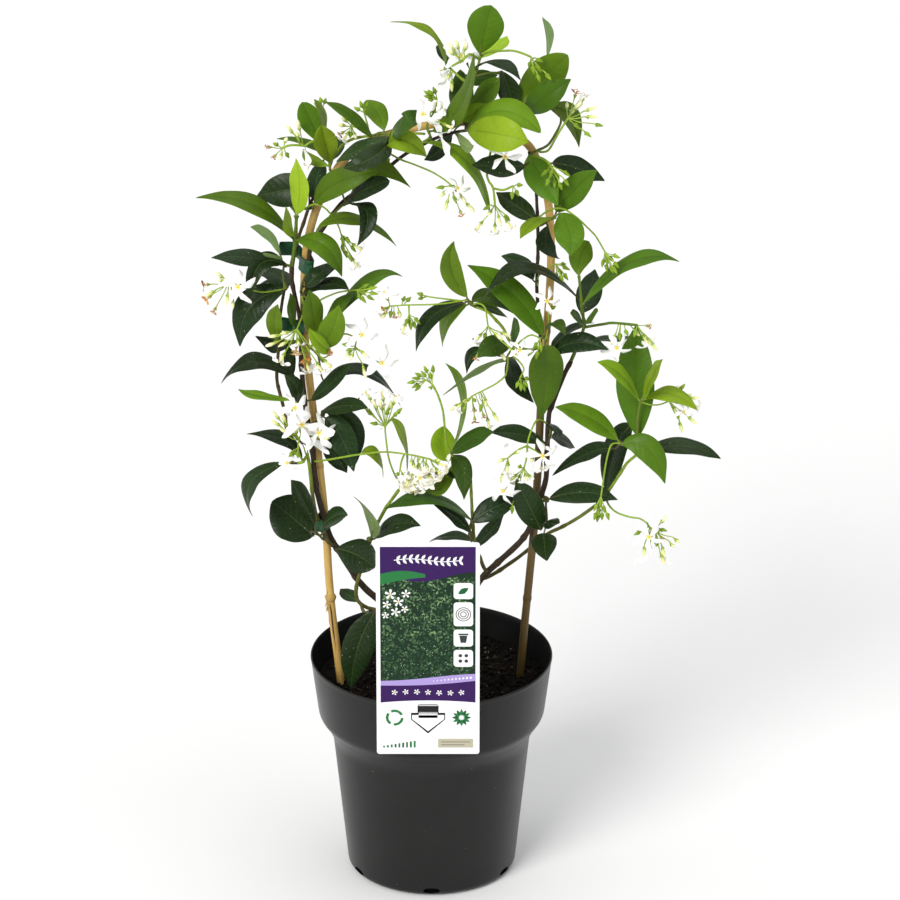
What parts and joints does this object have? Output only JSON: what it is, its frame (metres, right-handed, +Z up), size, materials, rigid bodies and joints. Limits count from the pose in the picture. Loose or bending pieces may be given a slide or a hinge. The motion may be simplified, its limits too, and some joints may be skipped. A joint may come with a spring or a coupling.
{
  "type": "potted star jasmine",
  "caption": "Climbing star jasmine with glossy leaves and white pinwheel flowers, trained on a bamboo hoop in a dark nursery pot with a hanging plant label.",
  "frame": {"origin": "centre of the pot's flat underside", "axes": "+Z up, +X to the right as seen from the label's side, -Y towards the side of the label"},
  "size_m": [0.4212, 0.2013, 0.7548],
  "materials": {
    "pot_plastic": "satin dark charcoal moulded plastic",
    "potting_mix": "dark moist chunky compost with bark chips and pale perlite specks",
    "bamboo": "pale tan cane with darker nodes, faint grain",
    "tie_plastic": "dark green soft plastic",
    "label_card": "smooth white printed card",
    "vine_bark": "brown woody bark, greener and smoother on young growth",
    "leaf": "glossy leathery leaf with a pale midrib",
    "petal": "soft white petals, yellow throat, yellow-green tubes and buds"
  },
  "bodies": {
    "root": {"pot": "pot_plastic", "potting_mix": "potting_mix", "bamboo_hoop": "bamboo", "vine_left_main": "vine_bark", "vine_left_second": "vine_bark", "vine_left_outer": "vine_bark", "vine_left_upper": "vine_bark", "vine_left_back": "vine_bark", "vine_top_green": "vine_bark", "vine_inner_olive": "vine_bark", "vine_right_main": "vine_bark", "vine_right_branch": "vine_bark", "vine_right_upper": "vine_bark", "vine_centre_shoot": "vine_bark", "vine_low_shoot": "vine_bark", "tie_upper": "tie_plastic", "tie_middle": "tie_plastic", "tie_lower": "tie_plastic", "plant_label": "label_card", "shoot_top": "leaf", "shoot_top_right": "leaf", "leaves_crown": "leaf", "leaves_crown_left": "leaf", "leaves_top_b": "leaf", "leaves_upper_right_a": "leaf", "leaves_upper_right_b": "leaf", "shoot_right_top": "leaf", "shoot_top_left": "leaf", "leaves_upper_left_c": "leaf", "shoot_left_green": "leaf", "leaves_inner_upper_left": "leaf", "leaves_left_mid_a": "leaf", "leaves_left_mid_b": "leaf", "leaves_inner_left": "leaf", "leaves_left_c": "leaf", "leaves_left_d": "leaf", "leaves_left_e": "leaf", "leaves_left_f": "leaf", "leaves_left_low": "leaf", "leaves_low_inner": "leaf", "leaves_low_label": "leaf", "shoot_low_centre": "leaf", "leaves_low_centre": "leaf", "shoot_centre": "leaf", "leaves_centre_b": "leaf", "leaves_right_hoop": "leaf", "leaves_right_mid": "leaf", "leaves_right_low": "leaf", "leaves_right_low_b": "leaf", "shoot_right": "leaf", "flowers_right_low": "petal", "flowers_crown_under": "petal", "flowers_top_left": "petal", "buds_upper_right": "petal", "buds_centre_right": "petal", "flowers_low_centre": "petal", "flowers_big_bunch": "petal", "flowers_hanging": "petal"}
  },
  "joints": []
}
